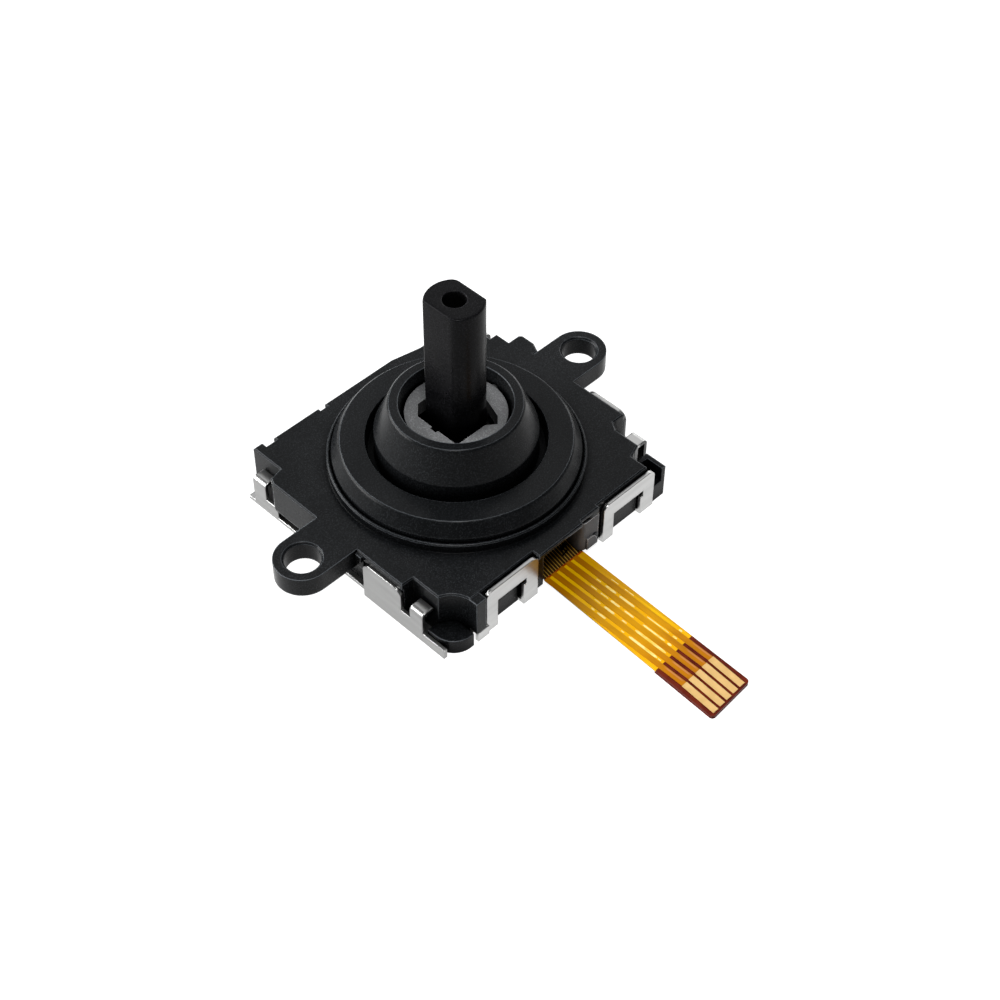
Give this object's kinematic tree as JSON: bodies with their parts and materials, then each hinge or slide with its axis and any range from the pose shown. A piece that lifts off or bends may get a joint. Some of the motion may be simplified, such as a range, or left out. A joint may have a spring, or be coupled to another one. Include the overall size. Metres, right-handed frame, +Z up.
{
  "type": "controller analog stick",
  "caption": "Miniature two-axis thumbstick module with a push switch, a steel shield, two screw ears and a flexible-circuit tail.",
  "frame": {"origin": "on the underside of the steel base plate, under the stick's axis", "axes": "+Z up along the stick, -Y towards the flexible tail, +X towards the right ear"},
  "size_m": [0.0225, 0.0257, 0.013],
  "materials": {
    "black_plastic": "fine matt moulding",
    "black_stem": "fine matt moulding",
    "grey_plastic": "matt moulding",
    "white_plastic": "natural matt moulding",
    "steel": "satin rolled sheet",
    "spring_metal": "bright drawn wire and strip",
    "amber_film": "glossy polyimide",
    "red_brown_film": "glossy polyimide",
    "contact_metal": "satin plated",
    "amber_copper": "copper under amber cover film",
    "carbon": "printed carbon"
  },
  "bodies": {
    "root": {"housing": "black_plastic", "base_frame": "black_plastic", "shield": "steel", "flex_film": "amber_film", "flex_stiffener": "red_brown_film", "tail_contacts": "contact_metal", "tail_conductors": "amber_copper", "carbon_track_x": "carbon", "carbon_track_y": "carbon", "snap_dome": "spring_metal", "return_spring": "spring_metal"},
    "gimbal": {"gimbal_ring": "grey_plastic"},
    "pin": {"cross_pin": "steel"},
    "stick": {"stick_stem": "black_stem"},
    "yoke": {"x_yoke": "white_plastic"},
    "slider_x": {"slider_x": "white_plastic", "wiper_x": "spring_metal"},
    "slider_y": {"slider_y": "white_plastic", "wiper_y": "spring_metal"},
    "seat": {"spring_seat": "white_plastic"}
  },
  "joints": [
    {"name": "tilt_x", "type": "hinge", "parent": "root", "child": "gimbal", "pos_m": [0, 0, 0.00545], "axis": [1, 0, 0], "range_deg": [-15, 15], "stiffness_Nm_per_rad": 0.004},
    {"name": "tilt_y", "type": "hinge", "parent": "gimbal", "child": "pin", "pos_m": [0, 0, 0.00545], "axis": [0, 1, 0], "range_deg": [-15, 15], "stiffness_Nm_per_rad": 0.004},
    {"name": "press", "type": "slide", "parent": "pin", "child": "stick", "axis": [0, 0, -1], "range_m": [0, 0.00025], "stiffness_N_per_m": 4000},
    {"name": "arch_tilt", "type": "hinge", "parent": "root", "child": "yoke", "pos_m": [0, 0, 0.00545], "axis": [0, 1, 0], "range_deg": [-15.5, 15.5]},
    {"name": "slide_x", "type": "slide", "parent": "root", "child": "slider_x", "axis": [1, 0, 0], "range_m": [-0.00106, 0.00106]},
    {"name": "slide_y", "type": "slide", "parent": "root", "child": "slider_y", "axis": [0, 1, 0], "range_m": [-0.00106, 0.00106]},
    {"name": "seat_press", "type": "slide", "parent": "root", "child": "seat", "axis": [0, 0, -1], "range_m": [0, 0.00026], "deforming": ["return_spring", "snap_dome"]}
  ],
  "couplings": [
    {"joint": "arch_tilt", "follows": "tilt_y", "ratio": 1},
    {"joint": "slide_x", "follows": "tilt_y", "m_per_rad": -0.004},
    {"joint": "slide_y", "follows": "tilt_x", "m_per_rad": 0.004},
    {"joint": "seat_press", "follows": "press", "ratio": 1}
  ]
}
